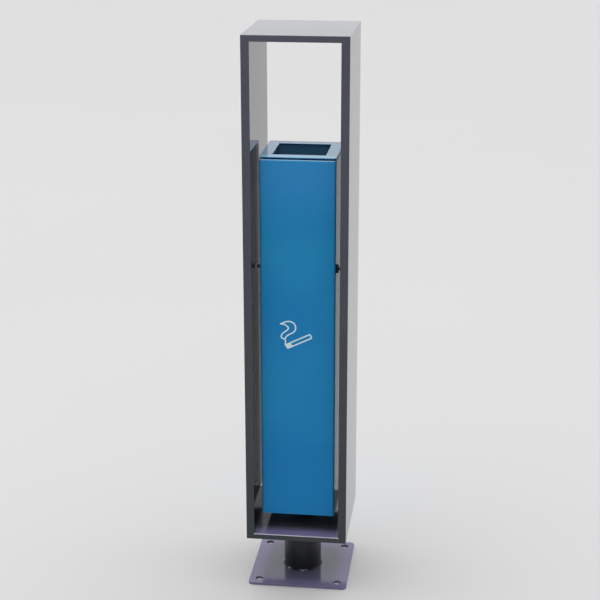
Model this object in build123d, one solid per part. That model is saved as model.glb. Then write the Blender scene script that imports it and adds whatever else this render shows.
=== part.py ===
from build123d import *
import os

# Ashtray bin: a tall portal frame on a short round post carries a square bin that tips on
# two side pivots. All sizes are in millimetres. The origin is on the ground at the centre
# of the footprint, +Z is up and the front faces -Y.

# Ground plate and post
PLATE_SIDE = 200.0
PLATE_T = 5.0
PLATE_CORNER_R = 9.0
PLATE_EDGE_R = 0.6
ANCHOR_SPACING = 160.0
ANCHOR_HOLE_R = 8.0
POST_R = 38.0
POST_WALL = 3.0
POST_LENGTH = 105.0
WELD_LEG = 3.5
WELD_CROWN = 0.56

# Portal frame, made of shallow box bars: a folded channel outside, a cover plate inside
FRAME_W = 200.0
FRAME_D = 225.0
FRAME_H = 1005.0
SIDE_BAR = 16.0
END_BAR = 12.0
FRAME_SHEET = 2.0
FRAME_EDGE_R = 1.5
LIP_EDGE_R = 1.0
BACKING_SIDE = 150.0
BACKING_T = 6.0

# Bin, folded from thin sheet
BIN_W = 146.0
BIN_D = 152.0
BIN_SETBACK = 32.0
BIN_FLOOR_GAP = 32.0
BIN_H = 727.0
BIN_SHEET = 1.5
BIN_CORNER_R = 4.0
BACK_RETURN = 15.0
RIM_T = 3.0
RIM_WIDTH = 16.0
RIM_EDGE_R = 2.2
PAN_LIP = 15.0
DRAIN_HOLE_R = 3.0
DRAIN_SPACING = 40.0
PAN_PLAY = 0.1
PAN_CORNER_R = 1.0
MOUTH_CORNER_R = 2.0

# Lid, a plate with a rectangular mouth, standing on rubber pads just above the rim
LID_GAP = 3.0
LID_T = 1.5
LID_CORNER_R = 5.0
LID_EDGE_R = 0.6
LID_MOUTH = 102.0
LID_MOUTH_CORNER_R = 1.0
SKIRT_PLAY = 0.75
SKIRT_T = 1.5
SKIRT_DEPTH = 26.0
PAD_R = 5.0
PAD_CLEARANCE = 0.3

# Tipping pivots, on a shoulder bolt at each side
PIVOT_SETBACK = 30.5
PIVOT_DROP = 217.5
BOLT_R = 3.0
BOLT_HEAD_R = 6.0
BOLT_HEAD_T = 4.5
BOLT_HEAD_EDGE_R = 1.0
SOCKET_R = 2.5
SOCKET_DEPTH = 2.5
WASHER_R = 9.0
WASHER_T = 1.5
RUNNING_PLAY = 0.05
SIDE_PLAY = 0.3
BUSH_BOSS_R = 9.0
BUSH_BOSS_T = 3.0
BUSH_BOSS_EDGE_R = 2.5
BUSH_SLEEVE_R = 5.0
DOUBLER_W = 46.0
DOUBLER_H = 60.0
DOUBLER_T = 3.0
DOUBLER_CORNER_R = 6.0
INSERT_R = 4.5
INSERT_FLANGE_R = 6.5
INSERT_FLANGE_T = 0.8
INSERT_END_GAP = 1.0

# Stop that holds the bin plumb: a tab under the bin rests against a padded angle on the frame
STOP_Y = 34.0
STOP_W = 40.0
STOP_SHEET = 3.0
STOP_BEND_R = 4.0
STOP_FOOT = 24.0
STOP_HEIGHT = 23.0
STOP_PAD_W = 30.0
STOP_PAD_H = 16.0
STOP_PAD_T = 5.0
STOP_PAD_EDGE_R = 1.5
STOP_CLEARANCE = 0.3
TAB_DROP = 22.0
TAB_FOOT = 18.0
TAB_SHEET = 2.0
TAB_BEND_R = 3.0

# Smoking symbol, a thin white film on the bin's front
SYMBOL_T = 0.3
SYMBOL_STROKE = 2.7
SYMBOL_X = -22.5
SYMBOL_DROP = 370.0
CIGARETTE_LENGTH = 55.0
CIGARETTE_W = 10.8
CIGARETTE_CORNER_R = 3.0
CIGARETTE_HOLLOW_R = 1.2
CIGARETTE_TILT = 26.0
EMBER_LENGTH = 12.0

# Levels and faces that follow from the sizes above
FRAME_Z = PLATE_T + POST_LENGTH
FRAME_TOP = FRAME_Z + FRAME_H
BIN_FRONT = -FRAME_D / 2 + BIN_SETBACK
BIN_BACK = BIN_FRONT + BIN_D
BIN_Y = (BIN_FRONT + BIN_BACK) / 2
BIN_Z = FRAME_Z + END_BAR + BIN_FLOOR_GAP
BIN_TOP = BIN_Z + BIN_H
BIN_SIDE = BIN_W / 2
MOUTH_W = BIN_W - 2 * RIM_WIDTH
MOUTH_D = BIN_D - 2 * RIM_WIDTH
LID_Z = BIN_TOP + LID_GAP
UPRIGHT_FACE = FRAME_W / 2 - SIDE_BAR
PIVOT_Y = BIN_FRONT + PIVOT_SETBACK
PIVOT_Z = BIN_TOP - PIVOT_DROP
FLOOR_Z = FRAME_Z + END_BAR
PAD_FACE_Y = STOP_Y + STOP_PAD_T
INSERT_END = FRAME_W / 2 - FRAME_SHEET - INSERT_END_GAP


def block(x, y, z):
    """A box given by its low and high limits along each axis."""
    centre = Pos((x[0] + x[1]) / 2, (y[0] + y[1]) / 2, (z[0] + z[1]) / 2)
    return centre * Box(x[1] - x[0], y[1] - y[0], z[1] - z[0])


def slab(width, depth, z, corner_r, y=0.0):
    """A horizontal plate with rounded vertical corners, centred at x = 0."""
    outline = RectangleRounded(width, depth, corner_r) if corner_r else Rectangle(width, depth)
    return Pos(0, y, z[0]) * extrude(outline, z[1] - z[0])


def rod_x(radius, x, y, z):
    """A round bar that lies along X."""
    return Pos((x[0] + x[1]) / 2, y, z) * Rot(0, 90, 0) * Cylinder(radius, x[1] - x[0])


def both_sides(right):
    """The right-hand solid and its mirror image, as one group."""
    return Compound(children=[right, mirror(right, about=Plane.YZ)])


def top_edges(solid):
    return solid.faces().sort_by(Axis.Z)[-1].edges()


# ---------------------------------------------------------------- ground plate and post

def base_plate():
    plate = slab(PLATE_SIDE, PLATE_SIDE, (0, PLATE_T), PLATE_CORNER_R)
    plate = fillet(top_edges(plate), PLATE_EDGE_R)
    half = ANCHOR_SPACING / 2
    for x in (-half, half):
        for y in (-half, half):
            plate -= Pos(x, y, PLATE_T / 2) * Cylinder(ANCHOR_HOLE_R, 2 * PLATE_T)
    return plate


def post_tube():
    tube = Cylinder(POST_R, POST_LENGTH) - Cylinder(POST_R - POST_WALL, 2 * POST_LENGTH)
    return Pos(0, 0, PLATE_T + POST_LENGTH / 2) * tube


def weld_ring(z, direction):
    """A fillet weld round the post, with a slightly crowned face."""
    root = (POST_R, z)
    toe = (POST_R + WELD_LEG, z)
    cap = (POST_R, z + direction * WELD_LEG)
    crown = (POST_R + WELD_CROWN * WELD_LEG, z + direction * WELD_CROWN * WELD_LEG)
    outline = Polyline(cap, root, toe) + ThreePointArc(toe, crown, cap)
    section = Plane.XZ * make_face(outline)
    return revolve(section, Axis.Z)


def post_welds():
    return Compound(children=[weld_ring(PLATE_T, 1), weld_ring(FRAME_Z, -1)])


# ---------------------------------------------------------------- portal frame

def channel_section(thickness):
    """Folded channel, its outer face at x = 0 and its open side towards +x."""
    outline = Pos(thickness / 2, 0) * Rectangle(thickness, FRAME_D)
    outline = fillet(outline.vertices().group_by(Axis.X)[0], FRAME_EDGE_R)
    outline = fillet(outline.vertices().group_by(Axis.X)[-1], LIP_EDGE_R)
    hollow = Rectangle(2 * (thickness - FRAME_SHEET), FRAME_D - 2 * FRAME_SHEET)
    return outline - Pos(thickness, 0) * hollow


def cover_section(thickness):
    """Plate that closes the channel, flush with the ends of its flanges."""
    return Pos(thickness - FRAME_SHEET / 2, 0) * Rectangle(FRAME_SHEET, FRAME_D - 2 * FRAME_SHEET)


def mitre_prism(points):
    """The part of the frame that belongs to one bar, between its two mitre planes."""
    return extrude(Plane.XZ * make_face(Polyline(*points, close=True)), FRAME_D, both=True)


def frame_bars():
    """Four mitred bars, each a channel and its cover."""
    x, x_in = FRAME_W / 2, UPRIGHT_FACE
    low, high, middle = FRAME_Z, FRAME_TOP, FRAME_Z + FRAME_H / 2
    low_in, high_in = low + END_BAR, high - END_BAR
    upright, cross = (SIDE_BAR, FRAME_H / 2, (0, 0, 1)), (END_BAR, FRAME_W / 2, (1, 0, 0))
    right = [(x, low), (x_in, low_in), (x_in, high_in), (x, high)]
    left = [(-x, low), (-x_in, low_in), (-x_in, high_in), (-x, high)]
    top = [(-x, high), (-x_in, high_in), (x_in, high_in), (x, high)]
    bottom = [(-x, low), (-x_in, low_in), (x_in, low_in), (x, low)]
    layout = {
        "right_upright": (upright, (x, middle), (-1, 0, 0), right),
        "left_upright": (upright, (-x, middle), (1, 0, 0), left),
        "top_bar": (cross, (0, high), (0, 0, -1), top),
        "bottom_bar": (cross, (0, low), (0, 0, 1), bottom),
    }
    bars = {}
    for name, ((thickness, half_length, along), (at_x, at_z), inward, outline) in layout.items():
        plane = Plane(origin=(at_x, 0, at_z), x_dir=inward, z_dir=along)
        prism = mitre_prism(outline)
        for kind, section in (("channel", channel_section), ("cover", cover_section)):
            whole = extrude(plane * section(thickness), half_length, both=True)
            bars[f"{name}_{kind}"] = whole & prism
    for name, side in (("left_upright_cover", -1), ("right_upright_cover", 1)):
        hole_x = sorted((side * (UPRIGHT_FACE - FRAME_SHEET), side * (UPRIGHT_FACE + 2 * FRAME_SHEET)))
        bars[name] -= rod_x(INSERT_R, hole_x, PIVOT_Y, PIVOT_Z)
    return bars


def post_backing_plate():
    low = FRAME_Z + FRAME_SHEET
    return slab(BACKING_SIDE, BACKING_SIDE, (low, low + BACKING_T), PLATE_CORNER_R)


# ---------------------------------------------------------------- bin

def bin_wrap():
    """Front and two sides folded from one sheet, with narrow returns at the back."""
    height = (BIN_Z, BIN_TOP - RIM_T)
    inside_w, inside_d = BIN_W - 2 * BIN_SHEET, BIN_D - 2 * BIN_SHEET
    wrap = slab(BIN_W, BIN_D, height, BIN_CORNER_R, BIN_Y)
    wrap -= slab(inside_w, inside_d, height, BIN_CORNER_R - BIN_SHEET, BIN_Y)
    gap = BIN_SIDE - BACK_RETURN
    wrap -= block((-gap, gap), (BIN_BACK - 2 * BIN_SHEET, BIN_BACK + BIN_SHEET), height)
    for side in (-1, 1):
        x = sorted((side * (BIN_SIDE - 2 * BIN_SHEET), side * (BIN_SIDE + BIN_SHEET)))
        wrap -= rod_x(BUSH_SLEEVE_R, x, PIVOT_Y, PIVOT_Z)
    return wrap


def bin_back_panel():
    """Lapped inside the two returns and spot-welded to them."""
    half = BIN_SIDE - BIN_CORNER_R
    y = (BIN_BACK - 2 * BIN_SHEET, BIN_BACK - BIN_SHEET)
    return block((-half, half), y, (BIN_Z, BIN_TOP - RIM_T))


def bin_bottom_pan():
    """A pan with upturned edges and drain holes, spot-welded inside the walls."""
    width = BIN_W - 2 * (BIN_SHEET + PAN_PLAY)
    back = BIN_BACK - 2 * BIN_SHEET - PAN_PLAY
    front = BIN_FRONT + BIN_SHEET + PAN_PLAY
    depth, y = back - front, (back + front) / 2
    corner_r = BIN_CORNER_R - BIN_SHEET
    pan = slab(width, depth, (BIN_Z, BIN_Z + PAN_LIP), corner_r, y)
    hollow_w, hollow_d = width - 2 * BIN_SHEET, depth - 2 * BIN_SHEET
    pan -= slab(hollow_w, hollow_d, (BIN_Z + BIN_SHEET, BIN_Z + PAN_LIP), PAN_CORNER_R, y)
    half = DRAIN_SPACING / 2
    for x in (-half, half):
        for dy in (-half, half):
            pan -= Pos(x, y + dy, BIN_Z) * Cylinder(DRAIN_HOLE_R, 4 * BIN_SHEET)
    return pan


def bin_rim():
    """The flat frame round the mouth, rounded where it meets the walls."""
    z = (BIN_TOP - RIM_T, BIN_TOP)
    rim = slab(BIN_W, BIN_D, z, BIN_CORNER_R, BIN_Y)
    rim = fillet(top_edges(rim), RIM_EDGE_R)
    return rim - slab(MOUTH_W, MOUTH_D, z, MOUTH_CORNER_R, BIN_Y)


def pivot_doubler():
    x = (BIN_SIDE - BIN_SHEET - DOUBLER_T, BIN_SIDE - BIN_SHEET)
    y = (PIVOT_Y - DOUBLER_W / 2, PIVOT_Y + DOUBLER_W / 2)
    z = (PIVOT_Z - DOUBLER_H / 2, PIVOT_Z + DOUBLER_H / 2)
    plate = block(x, y, z)
    plate = fillet(plate.edges().filter_by(Axis.X), DOUBLER_CORNER_R)
    return plate - rod_x(BUSH_SLEEVE_R, (x[0] - BIN_SHEET, x[1] + BIN_SHEET), PIVOT_Y, PIVOT_Z)


def pivot_bush():
    """A flanged nylon bush. Its domed boss keeps the bin off the upright."""
    inner = BIN_SIDE - BIN_SHEET - DOUBLER_T
    boss = rod_x(BUSH_BOSS_R, (BIN_SIDE, BIN_SIDE + BUSH_BOSS_T), PIVOT_Y, PIVOT_Z)
    boss = fillet(boss.edges().sort_by(Axis.X)[-1], BUSH_BOSS_EDGE_R)
    sleeve = rod_x(BUSH_SLEEVE_R, (inner, BIN_SIDE + RUNNING_PLAY), PIVOT_Y, PIVOT_Z)
    bore = rod_x(BOLT_R + RUNNING_PLAY, (inner, BIN_SIDE + BUSH_BOSS_T), PIVOT_Y, PIVOT_Z)
    return boss + sleeve - bore


def folded_angle(width, foot, height, thickness, bend_r):
    """An angle folded from sheet: its foot along +y and its leg along +z from the origin."""
    section = Polyline((0, 0), (foot, 0), (foot, thickness), (thickness, thickness),
                       (thickness, height), (0, height), close=True)
    outline = make_face(section)
    corners = outline.vertices().sort_by_distance((0, 0))
    outline = fillet(corners[0], bend_r)
    inside = outline.vertices().sort_by_distance((thickness, thickness))[0]
    outline = fillet(inside, bend_r - thickness)
    return extrude(Plane.YZ * outline, width / 2, both=True)


def stop_tab():
    """A small angle welded under the bottom pan, its leg hanging down behind the stop."""
    angle = folded_angle(STOP_W, TAB_FOOT, TAB_DROP, TAB_SHEET, TAB_BEND_R)
    return Pos(0, PAD_FACE_Y + STOP_CLEARANCE, BIN_Z) * mirror(angle, about=Plane.XY)


# ---------------------------------------------------------------- pivot and stop hardware on the frame

def pivot_washer():
    high = BIN_SIDE - BIN_SHEET - DOUBLER_T - SIDE_PLAY
    x = (high - WASHER_T, high)
    return rod_x(WASHER_R, x, PIVOT_Y, PIVOT_Z) - rod_x(BOLT_R, x, PIVOT_Y, PIVOT_Z)


def pivot_bolt():
    """A shoulder bolt put in from inside the bin, with a hexagon socket in its head."""
    face = BIN_SIDE - BIN_SHEET - DOUBLER_T - SIDE_PLAY - WASHER_T
    head = rod_x(BOLT_HEAD_R, (face - BOLT_HEAD_T, face), PIVOT_Y, PIVOT_Z)
    head = fillet(head.edges().sort_by(Axis.X)[0], BOLT_HEAD_EDGE_R)
    socket = Pos(face - BOLT_HEAD_T, PIVOT_Y, PIVOT_Z) * Rot(0, 90, 0)
    socket = socket * extrude(RegularPolygon(SOCKET_R, 6), SOCKET_DEPTH)
    shank = rod_x(BOLT_R, (face - WASHER_T, INSERT_END), PIVOT_Y, PIVOT_Z)
    return head + shank - socket


def pivot_insert():
    """A rivet nut set in the upright's cover plate."""
    flange_x = (UPRIGHT_FACE - INSERT_FLANGE_T, UPRIGHT_FACE)
    flange = rod_x(INSERT_FLANGE_R, flange_x, PIVOT_Y, PIVOT_Z)
    body = rod_x(INSERT_R, (flange_x[0], INSERT_END), PIVOT_Y, PIVOT_Z)
    bore = rod_x(BOLT_R, (flange_x[0], INSERT_END), PIVOT_Y, PIVOT_Z)
    return flange + body - bore


def stop_bracket():
    """A folded angle welded to the frame's floor, hidden behind the bin's front."""
    angle = folded_angle(STOP_W, STOP_FOOT, STOP_HEIGHT, STOP_SHEET, STOP_BEND_R)
    return Pos(0, STOP_Y, FLOOR_Z) * mirror(angle, about=Plane.XZ)


def stop_pad():
    """A rubber pad bonded to the bracket, facing the tab."""
    top = FLOOR_Z + STOP_HEIGHT
    half = STOP_PAD_W / 2
    pad = block((-half, half), (STOP_Y, PAD_FACE_Y), (top - STOP_PAD_H, top))
    return fillet(pad.faces().sort_by(Axis.Y)[-1].edges(), STOP_PAD_EDGE_R)


# ---------------------------------------------------------------- smoking symbol

def cigarette():
    """An outlined bar with a solid ember end. Its ember end is at the origin."""
    outer = RectangleRounded(CIGARETTE_LENGTH, CIGARETTE_W, CIGARETTE_CORNER_R)
    hollow_w = CIGARETTE_LENGTH - EMBER_LENGTH - SYMBOL_STROKE
    hollow_h = CIGARETTE_W - 2 * SYMBOL_STROKE
    hollow = RectangleRounded(hollow_w, hollow_h, CIGARETTE_HOLLOW_R)
    bar = outer - Pos((EMBER_LENGTH - SYMBOL_STROKE) / 2, 0) * hollow
    return Rot(0, 0, CIGARETTE_TILT) * Pos(CIGARETTE_LENGTH / 2, 0) * bar


def smoke():
    """A plume that rises from the ember, leans right and curls back to a point at the left."""
    stem, fork, tip = (-1.5, 2.0), (-2.0, 15.5), (-11.5, 46.0)
    rise = Spline(stem, (-1.2, 9.0), fork)
    outer = Spline(fork, (5.0, 25.0), (16.4, 32.5), (17.8, 44.5), (8.0, 52.0), (-2.5, 50.5), tip)
    inner = Spline(fork, (-9.5, 21.5), (-4.0, 29.5), (4.5, 38.5), (-1.0, 44.5), tip)
    return trace(rise, SYMBOL_STROKE) + trace(outer, SYMBOL_STROKE) + trace(inner, SYMBOL_STROKE)


def smoking_symbol():
    face_on = Plane(origin=(SYMBOL_X, BIN_FRONT, BIN_TOP - SYMBOL_DROP), z_dir=(0, -1, 0), x_dir=(1, 0, 0))
    return extrude(face_on * (cigarette() + smoke()), SYMBOL_T)


# ---------------------------------------------------------------- lid

def lid_plate():
    z = (LID_Z, LID_Z + LID_T)
    plate = slab(BIN_W, BIN_D, z, LID_CORNER_R, BIN_Y)
    plate = fillet(top_edges(plate), LID_EDGE_R)
    return plate - slab(LID_MOUTH, LID_MOUTH, z, LID_MOUTH_CORNER_R, BIN_Y)


def lid_skirt():
    """A collar under the lid that drops into the bin's mouth."""
    z = (LID_Z - SKIRT_DEPTH, LID_Z)
    width, depth = MOUTH_W - 2 * SKIRT_PLAY, MOUTH_D - 2 * SKIRT_PLAY
    collar = slab(width, depth, z, MOUTH_CORNER_R, BIN_Y)
    hollow_w, hollow_d = width - 2 * SKIRT_T, depth - 2 * SKIRT_T
    return collar - slab(hollow_w, hollow_d, z, MOUTH_CORNER_R - SKIRT_T, BIN_Y)


def lid_pads():
    z = BIN_TOP + (PAD_CLEARANCE + LID_GAP) / 2
    x, y = BIN_SIDE - RIM_WIDTH / 2, BIN_D / 2 - RIM_WIDTH / 2
    pads = []
    for dx in (-x, x):
        for dy in (-y, y):
            pads.append(Pos(dx, BIN_Y + dy, z) * Cylinder(PAD_R, LID_GAP - PAD_CLEARANCE))
    return Compound(children=pads)


nodes = {
    "base_plate": base_plate(),
    "post_tube": post_tube(),
    "post_welds": post_welds(),
    "post_backing_plate": post_backing_plate(),
    **frame_bars(),
    "pivot_bolts": both_sides(pivot_bolt()),
    "pivot_washers": both_sides(pivot_washer()),
    "pivot_inserts": both_sides(pivot_insert()),
    "stop_bracket": stop_bracket(),
    "stop_pad": stop_pad(),
    "bin_wrap": bin_wrap(),
    "bin_back_panel": bin_back_panel(),
    "bin_bottom_pan": bin_bottom_pan(),
    "bin_rim": bin_rim(),
    "pivot_doublers": both_sides(pivot_doubler()),
    "pivot_bushes": both_sides(pivot_bush()),
    "stop_tab": stop_tab(),
    "smoking_symbol": smoking_symbol(),
    "lid_plate": lid_plate(),
    "lid_skirt": lid_skirt(),
    "lid_pads": lid_pads(),
}

os.makedirs("parts", exist_ok=True)
for name, shape in nodes.items():
    export_step(shape, f"parts/{name}.step")
print("pivot", PIVOT_Y, PIVOT_Z, "lid top", LID_Z + LID_T, "frame top", FRAME_TOP)
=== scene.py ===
"""Looks for the post-mounted ashtray bin: paints, metals, plastics, welds, studio and camera."""
import math

import bmesh
import bpy
from mathutils import Matrix, Vector


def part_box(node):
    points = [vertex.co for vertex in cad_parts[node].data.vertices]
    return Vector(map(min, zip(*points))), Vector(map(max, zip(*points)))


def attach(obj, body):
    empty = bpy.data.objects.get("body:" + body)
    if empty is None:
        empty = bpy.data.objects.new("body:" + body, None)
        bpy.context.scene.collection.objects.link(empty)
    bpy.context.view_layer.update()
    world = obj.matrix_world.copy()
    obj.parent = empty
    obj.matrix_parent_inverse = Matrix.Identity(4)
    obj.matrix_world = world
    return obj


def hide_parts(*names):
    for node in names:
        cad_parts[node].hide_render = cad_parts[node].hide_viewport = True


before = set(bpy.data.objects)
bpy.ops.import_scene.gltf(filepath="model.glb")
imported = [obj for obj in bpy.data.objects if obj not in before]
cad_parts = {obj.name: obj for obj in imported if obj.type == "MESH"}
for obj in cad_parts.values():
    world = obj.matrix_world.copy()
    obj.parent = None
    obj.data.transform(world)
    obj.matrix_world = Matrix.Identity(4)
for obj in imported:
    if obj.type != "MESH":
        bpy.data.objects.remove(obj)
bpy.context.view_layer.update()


# ---------------------------------------------------------------- node graphs
MIX_FIRST, MIX_SECOND, MIX_RESULT = 6, 7, 2  # colour sockets of the Mix node
MIDDLE = (0.3, 0.7)  # where most of a noise's values lie


class Graph:
    """Short calls for building one material's node tree. Lengths are in metres."""

    def __init__(self, name):
        self.material = bpy.data.materials.new(name)
        self.material.use_nodes = True
        self.tree = self.material.node_tree
        self.shader = self.tree.nodes["Principled BSDF"]
        self.place = self.node("ShaderNodeTexCoord").outputs["Object"]

    def node(self, kind, **settings):
        made = self.tree.nodes.new(kind)
        for key, value in settings.items():
            setattr(made, key, value)
        return made

    def feed(self, socket, value):
        if isinstance(value, bpy.types.NodeSocket):
            self.tree.links.new(value, socket)
        elif socket.type == "RGBA":
            socket.default_value = (*value, 1.0)
        else:
            socket.default_value = value

    def set(self, **values):
        for name, value in values.items():
            self.feed(self.shader.inputs[name.replace("_", " ")], value)

    def math(self, operation, *values):
        made = self.node("ShaderNodeMath", operation=operation)
        for socket, value in zip(made.inputs, values):
            self.feed(socket, value)
        return made.outputs["Value"]

    def vector(self, operation, *values):
        made = self.node("ShaderNodeVectorMath", operation=operation)
        for socket, value in zip(made.inputs, values):
            self.feed(socket, value)
        return made.outputs["Vector"]

    def split(self, value):
        made = self.node("ShaderNodeSeparateXYZ")
        self.feed(made.inputs[0], value)
        return tuple(made.outputs)

    def remap(self, value, span, to=(0.0, 1.0), smooth=False):
        """Spreads the values across span over to, and holds them at its ends."""
        made = self.node("ShaderNodeMapRange", clamp=True)
        if smooth:
            made.interpolation_type = "SMOOTHSTEP"
        for name, amount in (("Value", value), ("From Min", span[0]), ("From Max", span[1]),
                             ("To Min", to[0]), ("To Max", to[1])):
            self.feed(made.inputs[name], amount)
        return made.outputs["Result"]

    def mix(self, share, first, second):
        made = self.node("ShaderNodeMix", data_type="RGBA")
        self.feed(made.inputs["Factor"], share)
        self.feed(made.inputs[MIX_FIRST], first)
        self.feed(made.inputs[MIX_SECOND], second)
        return made.outputs[MIX_RESULT]

    def noise(self, scale, detail, roughness=0.5, stretch=None):
        made = self.node("ShaderNodeTexNoise")
        place = self.vector("MULTIPLY", self.place, stretch) if stretch else self.place
        self.feed(made.inputs["Vector"], place)
        self.feed(made.inputs["Scale"], scale)
        self.feed(made.inputs["Detail"], detail)
        self.feed(made.inputs["Roughness"], roughness)
        return made.outputs["Fac"]

    def patches(self, scale, detail, span=MIDDLE, to=(0.0, 1.0), roughness=0.5, smooth=False):
        """Noise, with its values across span spread over to."""
        return self.remap(self.noise(scale, detail, roughness), span, to, smooth)

    def cells(self, scale):
        """One random value for each small cell."""
        made = self.node("ShaderNodeTexVoronoi")
        self.feed(made.inputs["Vector"], self.place)
        self.feed(made.inputs["Scale"], scale)
        return self.split(made.outputs["Color"])[0]

    def edges(self, boxes, width):
        """1 along the twelve edges of each box, fading to 0 at that width."""
        found = 0.0
        for low, high in boxes:
            centre, half = (low + high) / 2, (high - low) / 2
            away = self.vector("ABSOLUTE", self.vector("SUBTRACT", self.place, tuple(centre)))
            past = self.vector("SUBTRACT", away, tuple(half))
            x, y, z = self.split(self.vector("ABSOLUTE", past))
            near, far = self.math("MINIMUM", x, y), self.math("MAXIMUM", x, y)
            middle = self.math("MAXIMUM", near, self.math("MINIMUM", far, z))
            mask = self.remap(middle, (0.0, width), (1.0, 0.0), smooth=True)
            x, y, z = self.split(past)
            outside = self.math("MAXIMUM", self.math("MAXIMUM", x, y), z)
            fade = self.remap(outside, (width / 2, width), (1.0, 0.0))
            found = self.math("MAXIMUM", found, self.math("MULTIPLY", mask, fade))
        return found

    def wear(self, boxes, width, scale, full):
        """Uneven wear along the boxes' edges, whole where the noise is above full."""
        uneven = self.patches(scale, detail=4.0, span=(0.4, full), to=(0.2, 1.0), roughness=0.65)
        return self.math("MULTIPLY", self.edges(boxes, width), uneven)

    def smear(self, scale, stretch_z, to):
        """Roughness in soft patches that run up and down."""
        stretch = (1.0, 1.0, stretch_z)
        return self.remap(self.noise(scale, detail=4.0, roughness=0.6, stretch=stretch), MIDDLE, to)

    def bump(self, *layers):
        """Stacks (height, distance, strength) layers and feeds the shader's normals."""
        normal = None
        for height, distance, strength in layers:
            made = self.node("ShaderNodeBump")
            self.feed(made.inputs["Height"], height)
            self.feed(made.inputs["Distance"], distance)
            self.feed(made.inputs["Strength"], strength)
            if normal is not None:
                self.feed(made.inputs["Normal"], normal)
            normal = made.outputs["Normal"]
        self.set(Normal=normal)
        return normal

    def coated(self, tone, rough, *layers, coat_rough, coat_ior, metallic=0.0):
        """Paint under a clear coat. Only the coat mirrors, and both follow the bump layers."""
        self.set(Base_Color=tone, Roughness=rough, Metallic=metallic)
        self.set(IOR=1.5, Specular_IOR_Level=0.0)
        self.set(Coat_Weight=1.0, Coat_Roughness=coat_rough, Coat_IOR=coat_ior)
        self.set(Coat_Normal=self.bump(*layers))
        return self.material

    def sprayed(self, peel_scale, grain_scale, grain_height):
        """Bump layers of sprayed sheet steel: slow waves, orange peel and a fine grain."""
        return (
            (self.noise(scale=6.0, detail=1.0), 0.0003, 0.25),
            (self.noise(scale=peel_scale, detail=2.0), 0.000006, 0.3),
            (self.noise(scale=grain_scale, detail=1.0), grain_height, 0.3),
        )


def box_of(*names):
    boxes = [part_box(n) for n in names]
    low = Vector([min(b[0][i] for b in boxes) for i in range(3)])
    high = Vector([max(b[1][i] for b in boxes) for i in range(3)])
    return low, high


def paint_node(name, material):
    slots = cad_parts[name].data.materials
    if not slots:
        slots.append(material)
    for index in range(len(slots)):
        slots[index] = material


def around(value, offsets):
    """The span between the two offsets from value."""
    return value + offsets[0], value + offsets[1]


# ---------------------------------------------------------------- paints
ANTHRACITE_FLECK = (0.1, 0.098, 0.15)
ANTHRACITE_THIN = (0.17, 0.165, 0.22)
# painted shade under the bin, on the floor inside the frame
PAINTED_SHADE_TONE = (0.042, 0.046, 0.034)
# painted highlight along the bottom bar's lit edge
LIT_EDGE = (0.85, 0.8, 0.95)
FRAME_WEAR, FRAME_WEAR_WIDTH, WEAR_ROUGHNESS = 0.3, 0.0014, 0.12
LIT_EDGE_WIDTH = 0.0022
PAINTED_SHADE_SHARE = 0.9
PAINTED_SHADE_FADE = (-0.02, 0.012)

BLUE_FLAKE = (0.02, 0.4, 0.78)
BLUE_THIN = (0.06, 0.4, 0.72)
# painted highlight on the lid's front strip, and painted shade at its back
BLUE_FRONT_HIGHLIGHT = (0.06, 0.60, 1.0)
BLUE_BACK_SHADE = (0.006, 0.17, 0.40)
# painted skylight towards the top, painted highlight on the top edges, painted shade below
BLUE_SKYLIT = (0.040, 0.295, 0.655)
BLUE_SHINE = (0.42, 0.80, 1.0)
BLUE_SHADE = (0.003, 0.10, 0.36)
FLAKE_METAL, FRONT_METAL, SHINE_METAL = 0.08, 0.16, 0.85
BIN_WEAR, BIN_WEAR_WIDTH = 0.25, 0.0022
SHINE_WIDTH = 0.0036
SHADE_SHARE = 0.9
# where each change of tone begins and ends, from the height or Y value that it is set by
FRONT_FADE, BACK_FADE = (-0.004, 0.008), (-0.008, 0.004)
SKYLIT_FADE, SHINE_FADE, SHADE_FADE = (-0.14, -0.02), (-0.0032, -0.0014), (-0.0006, -0.0003)

# the weld's near-black tones are painted shade; the glint is a painted highlight
WELD_SHADE_TONES = ((0.012, 0.012, 0.016), (0.022, 0.021, 0.03))
WELD_FLECK = (0.05, 0.049, 0.062)
WELD_GLINT = (0.42, 0.42, 0.46)


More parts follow.
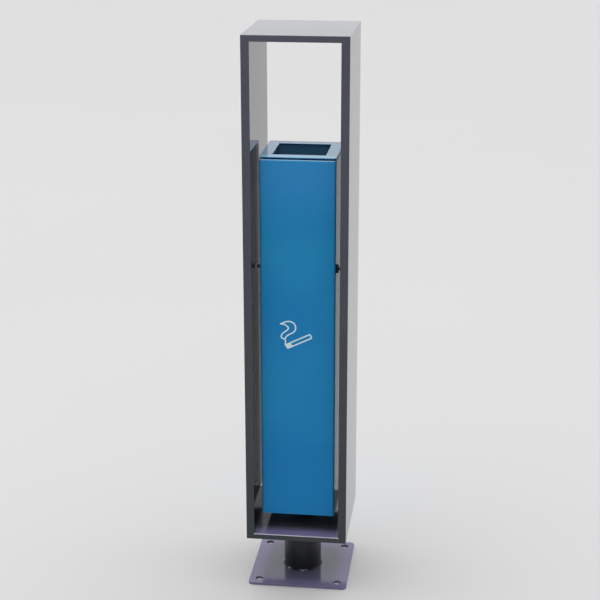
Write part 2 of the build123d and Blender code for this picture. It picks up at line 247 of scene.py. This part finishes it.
def frame_paint(name, boxes, tones, low_tones=None, shift=None, spread=None, coat_rough=0.06,
                coat_ior=1.57, bright_edge=None, sheltered=None):
    """Gloss anthracite powder coat: violet cast, orange peel, coat pulled thin over the edges.

    Between the two heights in shift the tones run from low_tones up to tones: painted shade,
    darker and greener lower down. Between the two distances in spread, measured square from the
    axis, they run from tones out to low_tones, and the darker tones near the axis are painted
    shade and a painted reflection of the post. Paint behind the Y value sheltered gets painted
    shade, and the box bright_edge has painted highlights along its edges.
    """
    g = Graph(name)
    cloud = g.patches(scale=6.0, detail=3.0, span=(0.35, 0.65))
    tone = g.mix(cloud, *tones)
    # lower down the tones run to low_tones: painted shade with a green painted reflection
    if shift is not None:
        height = g.remap(g.split(g.place)[2], shift)
        tone = g.mix(height, g.mix(cloud, *low_tones), tone)
    # near the axis the darker tones stay: painted shade and a painted reflection of the post
    if spread is not None:
        x, y, _ = g.split(g.vector("ABSOLUTE", g.place))
        outer = g.remap(g.math("MAXIMUM", x, y), spread, smooth=True)
        tone = g.mix(outer, tone, g.mix(cloud, *low_tones))
    fleck = g.patches(scale=900.0, detail=1.0, span=(0.45, 0.75), to=(0.0, 0.25))
    tone = g.mix(fleck, tone, ANTHRACITE_FLECK)
    worn = g.wear(boxes, FRAME_WEAR_WIDTH, scale=45.0, full=0.64)
    tone = g.mix(g.math("MULTIPLY", worn, FRAME_WEAR), tone, ANTHRACITE_THIN)
    # painted shade on the paint behind the Y value sheltered, under the bin
    if sheltered is not None:
        behind = g.remap(g.split(g.place)[1], around(sheltered, PAINTED_SHADE_FADE),
                         (0.0, PAINTED_SHADE_SHARE), smooth=True)
        tone = g.mix(behind, tone, PAINTED_SHADE_TONE)
    # painted highlight along the edges of the box bright_edge
    if bright_edge is not None:
        tone = g.mix(g.edges([bright_edge], LIT_EDGE_WIDTH), tone, LIT_EDGE)
    smear = g.smear(scale=11.0, stretch_z=0.35, to=(0.34, 0.46))
    rough = g.math("ADD", smear, g.math("MULTIPLY", worn, WEAR_ROUGHNESS))
    layers = g.sprayed(peel_scale=260.0, grain_scale=1100.0, grain_height=0.000001)
    return g.coated(tone, rough, *layers, coat_rough=coat_rough, coat_ior=coat_ior)


def bin_paint(name, boxes, dark, light, coat_ior, crest=None, flank=None, fore_aft=None):
    """Satin metallic blue powder coat: fine metal flake under a clear coat, paler at the edges.

    Towards the height crest the paint pales, painted skylight, and along the edges there it
    takes a painted highlight with more metal in its flakes. Below the height flank it lies in
    painted shade. Between the two Y values in fore_aft the tone runs from a paler front, a
    painted highlight, to a deeper back, painted shade.
    """
    g = Graph(name)
    tone = g.mix(g.patches(scale=5.0, detail=2.0), dark, light)
    sparkle = g.cells(scale=2200.0)
    tone = g.mix(g.remap(sparkle, (0.2, 1.0), (0.0, 0.22)), tone, BLUE_FLAKE)
    worn = g.wear(boxes, BIN_WEAR_WIDTH, scale=60.0, full=0.62)
    tone = g.mix(g.math("MULTIPLY", worn, BIN_WEAR), tone, BLUE_THIN)
    metallic = FLAKE_METAL
    _, depth, height = g.split(g.place)
    if fore_aft is not None:
        front, back = fore_aft
        # painted highlight on the lid's front strip, with more metal
        ahead = g.remap(depth, around(front, FRONT_FADE), (1.0, 0.0), smooth=True)
        tone = g.mix(ahead, tone, BLUE_FRONT_HIGHLIGHT)
        metallic = g.remap(ahead, (0.0, 1.0), (FLAKE_METAL, FRONT_METAL))
        # painted shade towards the back of the lid
        behind = g.remap(depth, around(back, BACK_FADE), smooth=True)
        tone = g.mix(behind, tone, BLUE_BACK_SHADE)
    if crest is not None:
        # painted skylight: paler towards the top
        lit = g.remap(height, around(crest, SKYLIT_FADE), smooth=True)
        tone = g.mix(lit, tone, BLUE_SKYLIT)
        # painted highlight along the top edges, with more metal in the flakes
        near_top = g.remap(height, around(crest, SHINE_FADE))
        shine = g.math("MULTIPLY", near_top, g.edges(boxes, SHINE_WIDTH))
        tone = g.mix(shine, tone, BLUE_SHINE)
        metallic = g.remap(shine, (0.0, 1.0), (FLAKE_METAL, SHINE_METAL))
    if flank is not None:
        shade = g.remap(height, around(flank, SHADE_FADE), (SHADE_SHARE, 0.0))
        tone = g.mix(shade, tone, BLUE_SHADE)
    smear = g.smear(scale=9.0, stretch_z=0.4, to=(0.38, 0.48))
    rough = g.math("ADD", smear, g.remap(sparkle, (0.0, 1.0), (-0.03, 0.04)))
    layers = g.sprayed(peel_scale=300.0, grain_scale=1300.0, grain_height=0.0000015)
    return g.coated(tone, rough, *layers, coat_rough=0.08, coat_ior=coat_ior, metallic=metallic)


def weld_paint(name):
    """The same powder coat pooled over a weld bead: near-black tones of painted shade, flecks, and
    pale spots of painted glint.
    """
    g = Graph(name)
    cloud = g.patches(scale=120.0, detail=3.0, span=(0.35, 0.65))
    tone = g.mix(cloud, *WELD_SHADE_TONES)
    fleck = g.patches(scale=700.0, detail=2.0, span=(0.45, 0.75), to=(0.0, 0.4))
    tone = g.mix(fleck, tone, WELD_FLECK)
    # painted glints: pale spots standing in for highlights on the bead
    glint = g.patches(scale=95.0, detail=3.0, span=(0.54, 0.64), to=(0.0, 0.8), roughness=0.6,
                      smooth=True)
    tone = g.mix(glint, tone, WELD_GLINT)
    rough = g.patches(scale=180.0, detail=3.0, to=(0.3, 0.46))
    lumps = (g.noise(scale=500.0, detail=3.0), 0.00006, 0.4)
    return g.coated(tone, rough, lumps, coat_rough=0.2, coat_ior=1.25)


# ---------------------------------------------------------------- other materials
OXIDE = ((0.050, 0.058, 0.070), (0.080, 0.090, 0.105))
OXIDE_WORN = (0.12, 0.12, 0.12)
ZINC = ((0.5, 0.51, 0.52), (0.63, 0.64, 0.66))
ZINC_DULL = (0.42, 0.42, 0.4)
MILL_SCALE = ((0.2, 0.205, 0.22), (0.34, 0.34, 0.345))
RUST = (0.2, 0.09, 0.04)
NYLON = ((0.045, 0.055, 0.070), (0.066, 0.078, 0.095))
RUBBER = ((0.013, 0.013, 0.013), (0.04, 0.04, 0.039))
FILM = ((0.72, 0.90, 1.0), (0.78, 0.94, 1.0))


def black_steel(name):
    """Black oxide fastener steel: faint blue cast, turned lines, worn high spots."""
    g = Graph(name)
    tone = g.mix(g.noise(scale=90.0, detail=3.0), *OXIDE)
    worn = g.patches(scale=320.0, detail=4.0, span=(0.55, 0.72), to=(0.0, 0.6), roughness=0.7)
    tone = g.mix(worn, tone, OXIDE_WORN)
    rough = g.patches(scale=450.0, detail=3.0, to=(0.32, 0.5))
    g.set(Base_Color=tone, Roughness=rough, Metallic=0.85)
    g.bump((g.noise(scale=1600.0, detail=2.0, stretch=(3.0, 1.0, 1.0)), 0.00002, 0.5))
    return g.material


def zinc_steel(name):
    """Bright zinc plating: crystalline patches, fine turning marks, slight dulling."""
    g = Graph(name)
    crystal = g.cells(scale=420.0)
    tone = g.mix(crystal, *ZINC)
    dull = g.patches(scale=70.0, detail=4.0, span=(0.5, 0.75), to=(0.0, 0.5))
    tone = g.mix(dull, tone, ZINC_DULL)
    g.set(Base_Color=tone, Roughness=g.remap(crystal, (0.0, 1.0), (0.26, 0.42)), Metallic=1.0)
    g.bump((g.noise(scale=1500.0, detail=2.0, stretch=(4.0, 1.0, 1.0)), 0.00002, 0.4))
    return g.material


def bare_steel(name):
    """Mill steel: bluish scale, rolling streaks and a little surface rust."""
    g = Graph(name)
    streak = g.noise(scale=40.0, detail=4.0, stretch=(1.0, 9.0, 1.0))
    tone = g.mix(streak, *MILL_SCALE)
    rust = g.patches(scale=60.0, detail=5.0, span=(0.6, 0.75), to=(0.0, 0.7), roughness=0.7)
    tone = g.mix(rust, tone, RUST)
    rough = g.math("ADD", g.remap(streak, MIDDLE, (0.4, 0.55)), g.math("MULTIPLY", rust, 0.3))
    g.set(Base_Color=tone, Roughness=rough, Metallic=0.9)
    g.bump((g.noise(scale=500.0, detail=4.0), 0.00005, 0.5))
    return g.material


def black_nylon(name):
    """Moulded black nylon: fine spark-eroded grain, satin."""
    g = Graph(name)
    grain = g.noise(scale=1500.0, detail=3.0, roughness=0.6)
    tone = g.mix(g.noise(scale=140.0, detail=3.0), *NYLON)
    rough = g.remap(grain, MIDDLE, (0.30, 0.46))
    g.set(Base_Color=tone, Roughness=rough, Metallic=0.0, IOR=1.53)
    g.bump((grain, 0.00004, 0.5), (g.noise(scale=90.0, detail=2.0), 0.0001, 0.2))
    return g.material


def black_rubber(name):
    """Black rubber: dull, dusty bloom and a faint moulding grain."""
    g = Graph(name)
    bloom = g.patches(scale=75.0, detail=4.0, span=(0.4, 0.7), to=(0.0, 0.5))
    tone = g.mix(bloom, *RUBBER)
    grain = g.noise(scale=1200.0, detail=3.0)
    g.set(Base_Color=tone, Roughness=g.remap(grain, MIDDLE, (0.66, 0.84)), Metallic=0.0)
    g.bump((grain, 0.00005, 0.6))
    return g.material


def white_film(name):
    """Cut white vinyl film: faint unevenness of gloss and colour, soft surface grain."""
    g = Graph(name)
    tone = g.mix(g.noise(scale=60.0, detail=3.0), *FILM)
    rough = g.patches(scale=240.0, detail=3.0, to=(0.24, 0.4))
    g.set(Base_Color=tone, Roughness=rough, Metallic=0.0, IOR=1.45)
    g.bump((g.noise(scale=900.0, detail=2.0), 0.00001, 0.5))
    return g.material


# ---------------------------------------------------------------- painting the CAD nodes
# each pair is the darker and the lighter tone of one paint's clouds
ANTHRACITE_HIGH = ((0.046, 0.049, 0.077), (0.060, 0.063, 0.097))
# darker, greener tones lower down on the frame: painted shade with a green painted reflection
ANTHRACITE_LOW_SHADE = ((0.005, 0.017, 0.017), (0.009, 0.024, 0.023))
# the inner covers: a darker copy of the frame's coat, painted shade
INNER_SHADE_HIGH = ((0.016, 0.016, 0.028), (0.022, 0.022, 0.036))
INNER_SHADE_LOW = ((0.006, 0.012, 0.012), (0.009, 0.016, 0.016))
VIOLET = ((0.128, 0.116, 0.222), (0.166, 0.150, 0.280))
# the plate's darker middle round the post: painted shade and a painted reflection
PLATE_SHADE_TOP = ((0.086, 0.088, 0.138), (0.110, 0.112, 0.175))
# the floor inside the frame: a paler copy of the frame's coat, painted skylight
TRAY_SKYLIT = ((0.240, 0.220, 0.410), (0.290, 0.265, 0.480))
# the post: a near-black copy of the frame's coat, painted shade under the frame
POST_SHADE_TONES = ((0.006, 0.008, 0.009), (0.011, 0.013, 0.014))
BIN_BLUE = ((0.018, 0.22, 0.55), (0.026, 0.29, 0.58))
# the lid: a brighter copy of the bin's blue, painted skylight on its top
LID_BLUE_SKYLIT = ((0.008, 0.32, 0.70), (0.010, 0.37, 0.77))
SKIRT_BLUE = ((0.16, 0.40, 0.57), (0.20, 0.46, 0.65))
PLATE_SHADE_SPREAD = (0.062, 0.088)
SILL_REACH = 0.4  # high enough that only the bottom edges of the sill's box touch the bottom bar

frame_box = box_of("bottom_bar_channel", "left_upright_channel", "right_upright_channel",
                   "top_bar_channel")
opening = (
    Vector((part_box("left_upright_cover")[1].x, frame_box[0].y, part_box("bottom_bar_cover")[1].z)),
    Vector((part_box("right_upright_cover")[0].x, frame_box[1].y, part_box("top_bar_cover")[0].z)),
)
# the lower part of the opening: the bottom bar gets a painted highlight along its bottom edges
sill = (opening[0], Vector((opening[1].x, opening[1].y, opening[0].z + SILL_REACH)))
frame_heights = (frame_box[0].z, frame_box[1].z)
bin_box = box_of("bin_wrap", "bin_rim")
lid_box, skirt_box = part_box("lid_plate"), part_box("lid_skirt")

frame_coat = frame_paint("frame_coat", [frame_box, opening], ANTHRACITE_HIGH, ANTHRACITE_LOW_SHADE,
                         frame_heights)
inner_shaded_coat = frame_paint("inner_shaded_coat", [frame_box, opening], INNER_SHADE_HIGH, INNER_SHADE_LOW, frame_heights)
sill_coat = frame_paint("sill_coat", [frame_box], ANTHRACITE_HIGH, ANTHRACITE_LOW_SHADE, frame_heights,
                        bright_edge=sill)
tray_skylit_coat = frame_paint("tray_skylit_coat", [], TRAY_SKYLIT, coat_rough=0.12, sheltered=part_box("bin_wrap")[0].y)
plate_coat = frame_paint("plate_coat", [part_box("base_plate")], PLATE_SHADE_TOP, VIOLET,
                         spread=PLATE_SHADE_SPREAD, coat_rough=0.1)
post_shaded_coat = frame_paint("post_shaded_coat", [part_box("post_tube")], POST_SHADE_TONES, coat_rough=0.3,
                        coat_ior=1.42)
wrap_coat = bin_paint("bin_coat", [bin_box], *BIN_BLUE, coat_ior=1.12, crest=bin_box[1].z)
lid_skylit_coat = bin_paint("lid_skylit_coat", [lid_box], *LID_BLUE_SKYLIT, coat_ior=1.5, flank=lid_box[1].z,
                     fore_aft=(skirt_box[0].y, skirt_box[1].y))
skirt_coat = bin_paint("skirt_coat", [skirt_box], *SKIRT_BLUE, coat_ior=1.5)

for material, nodes in (
    (frame_coat, ("left_upright_channel", "right_upright_channel", "top_bar_channel",
                  "stop_bracket")),
    (inner_shaded_coat, ("left_upright_cover", "right_upright_cover", "top_bar_cover")),
    (sill_coat, ("bottom_bar_channel",)),
    (tray_skylit_coat, ("bottom_bar_cover",)),
    (plate_coat, ("base_plate",)),
    (post_shaded_coat, ("post_tube",)),
    (bare_steel("mill_steel"), ("post_backing_plate",)),
    (wrap_coat, ("bin_wrap", "bin_back_panel", "bin_bottom_pan", "bin_rim", "pivot_doublers",
                 "stop_tab")),
    (lid_skylit_coat, ("lid_plate",)),
    (skirt_coat, ("lid_skirt",)),
    (zinc_steel("zinc_plate"), ("pivot_washers", "pivot_inserts")),
    (black_steel("black_oxide"), ("pivot_bolts",)),
    (black_nylon("nylon"), ("pivot_bushes",)),
    (black_rubber("rubber"), ("stop_pad", "lid_pads")),
    (white_film("vinyl_film"), ("smoking_symbol",)),
):
    for node in nodes:
        paint_node(node, material)


# ---------------------------------------------------------------- weld beads
BEAD_LEG = 0.8  # share of the CAD weld's leg, and the sizes below are shares of this leg
BEAD_STEPS_AROUND = 480
BEAD_STEPS_ACROSS = 9
BEAD_WANDER = ((0.03, 3, 1), (0.02, 7, 2))  # size, waves round the post, share of the phase
BEAD_RIPPLES = 74
BEAD_RIPPLE_HEIGHT = 0.055
BEAD_RIPPLE_LEAN = 2.16
BEAD_RIPPLE_CROWN = 0.6
BEAD_FULLNESS = 0.80
BEAD_SIZE = 0.93
FLAT_SHARE, ROUND_SHARE = 0.45, 0.55  # the section lies between a flat fillet and a round one


def piece_of(name, bm):
    """Turns a finished bmesh into a mesh object in the scene."""
    mesh = bpy.data.meshes.new(name)
    bm.to_mesh(mesh)
    bm.free()
    piece = bpy.data.objects.new(name, mesh)
    bpy.context.scene.collection.objects.link(piece)
    return piece


def weld_bead(name, corner_z, direction, phase):
    """A rippled fillet bead round the post, from its wall out to the plate or bar at corner_z."""
    post_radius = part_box("post_tube")[1].x
    leg = BEAD_LEG * (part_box("post_welds")[1].x - post_radius)
    bm = bmesh.new()
    rings = []
    for i in range(BEAD_STEPS_AROUND):
        turn = 2 * math.pi * i / BEAD_STEPS_AROUND
        wander = sum(size * math.sin(waves * turn + shift * phase)
                     for size, waves, shift in BEAD_WANDER)
        ring = []
        for j in range(BEAD_STEPS_ACROSS + 1):
            share = j / BEAD_STEPS_ACROSS
            arch = math.sin(math.pi * share)
            ripple = math.sin(BEAD_RIPPLES * turn + BEAD_RIPPLE_LEAN * arch + phase)
            crown = BEAD_RIPPLE_HEIGHT * ripple * arch ** BEAD_RIPPLE_CROWN
            height = BEAD_FULLNESS + wander + crown
            angle = share * math.pi / 2
            out = leg * ((1 - share) * FLAT_SHARE + math.cos(angle) * ROUND_SHARE)
            up = leg * (share * FLAT_SHARE + math.sin(angle) * ROUND_SHARE)
            toe = 1.0 if j in (0, BEAD_STEPS_ACROSS) else height / BEAD_FULLNESS
            grow = (BEAD_SIZE + wander) * toe
            radius = post_radius + min(leg, out * grow)
            z = corner_z + direction * min(leg, up * grow)
            ring.append(bm.verts.new((radius * math.cos(turn), radius * math.sin(turn), z)))
        corner = (post_radius * math.cos(turn), post_radius * math.sin(turn), corner_z)
        ring.append(bm.verts.new(corner))
        rings.append(ring)
    for here, there in zip(rings, rings[1:] + rings[:1]):
        for j in range(len(here)):
            k = (j + 1) % len(here)
            bm.faces.new((here[j], there[j], there[k], here[k]))
    bmesh.ops.recalc_face_normals(bm, faces=bm.faces)
    bead = piece_of(name, bm)
    for face in bead.data.polygons:
        face.use_smooth = True
    return bead


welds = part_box("post_welds")
bead_coat = weld_paint("weld_coat")
for name, height, direction, phase in (("weld_bead_base", welds[0].z, 1, 0.4),
                                       ("weld_bead_frame", welds[1].z, -1, 1.9)):
    bead = weld_bead(name, height, direction, phase)
    bead.data.materials.append(bead_coat)
    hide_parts("post_welds")
    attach(bead, "frame")


# ---------------------------------------------------------------- studio
SKY_TONE = (0.985, 0.988, 1.0, 1.0)
# sky strength rises from front to back over the sky's Y, and again towards the zenith over its Z
FRONT_TO_BACK, FRONT_TO_BACK_SKY = (-0.7, 0.5), (0.35, 1.08)
ZENITH, ZENITH_EXTRA = (0.35, 1.0), (0.0, 0.7)
FLOOR_SIZE = 60.0
FLOOR_TONES = ((0.630, 0.628, 0.624), (0.655, 0.653, 0.649))
KEY_PLACE, KEY_TARGET = (-2.2, -1.6, 6.0), (0, 0, 0.5)
KEY_SIZE, KEY_RADIANCE = 5.0, 0.45

CAMERA_PLACE = (0.3363866, -2.7329311, 1.46631)
CAMERA_YAW, CAMERA_PITCH, CAMERA_ROLL = 0.1244, 0.3109, -0.0012
CAMERA_LENS, CAMERA_SENSOR = 87.79, 36.0


def floor():
    bm = bmesh.new()
    bmesh.ops.create_grid(bm, x_segments=8, y_segments=8, size=FLOOR_SIZE / 2)
    piece = piece_of("floor", bm)
    g = Graph("floor_pale")
    g.set(Base_Color=g.mix(g.noise(scale=0.8, detail=2.0), *FLOOR_TONES), Roughness=0.85)
    piece.data.materials.append(g.material)


def sky():
    """An even pale sky: brightest overhead, dimmer towards the front."""
    world = bpy.data.worlds.new("studio")
    world.use_nodes = True
    nodes, links = world.node_tree.nodes, world.node_tree.links
    background = nodes["Background"]
    background.inputs["Color"].default_value = SKY_TONE
    split = nodes.new("ShaderNodeSeparateXYZ")
    links.new(nodes.new("ShaderNodeTexCoord").outputs["Generated"], split.inputs[0])

    def ramp(value, span, to):
        made = nodes.new("ShaderNodeMapRange")
        made.interpolation_type = "SMOOTHSTEP"
        links.new(value, made.inputs["Value"])
        for name, amount in (("From Min", span[0]), ("From Max", span[1]), ("To Min", to[0]),
                             ("To Max", to[1])):
            made.inputs[name].default_value = amount
        return made.outputs["Result"]

    total = nodes.new("ShaderNodeMath")
    total.operation = "ADD"
    links.new(ramp(split.outputs[1], FRONT_TO_BACK, FRONT_TO_BACK_SKY), total.inputs[0])
    links.new(ramp(split.outputs[2], ZENITH, ZENITH_EXTRA), total.inputs[1])
    links.new(total.outputs[0], background.inputs["Strength"])
    bpy.context.scene.world = world


def key_light():
    light = bpy.data.lights.new("key", "AREA")
    light.shape = "RECTANGLE"
    light.size = light.size_y = KEY_SIZE
    light.energy = KEY_RADIANCE * math.pi * KEY_SIZE * KEY_SIZE
    piece = bpy.data.objects.new("key", light)
    piece.location = KEY_PLACE
    aim = Vector(KEY_TARGET) - Vector(KEY_PLACE)
    piece.rotation_mode = "QUATERNION"
    piece.rotation_quaternion = aim.to_track_quat("-Z", "Y")
    piece.visible_camera = False
    bpy.context.scene.collection.objects.link(piece)


def camera():
    data = bpy.data.cameras.new("camera")
    data.sensor_width = CAMERA_SENSOR
    data.lens = CAMERA_LENS
    piece = bpy.data.objects.new("camera", data)
    bpy.context.scene.collection.objects.link(piece)
    yaw, pitch, roll = CAMERA_YAW, CAMERA_PITCH, CAMERA_ROLL
    ahead = Vector((-math.sin(yaw) * math.cos(pitch), math.cos(yaw) * math.cos(pitch),
                    -math.sin(pitch)))
    right = Vector((math.cos(yaw), math.sin(yaw), 0.0))
    up = right.cross(ahead)
    side = right * math.cos(roll) + up * math.sin(roll)
    top = -right * math.sin(roll) + up * math.cos(roll)
    turn = Matrix((side, top, -ahead)).transposed()
    piece.matrix_world = Matrix.Translation(CAMERA_PLACE) @ turn.to_4x4()
    bpy.context.scene.camera = piece


sky()
bpy.context.scene.view_settings.view_transform = "Standard"
floor()
key_light()
camera()
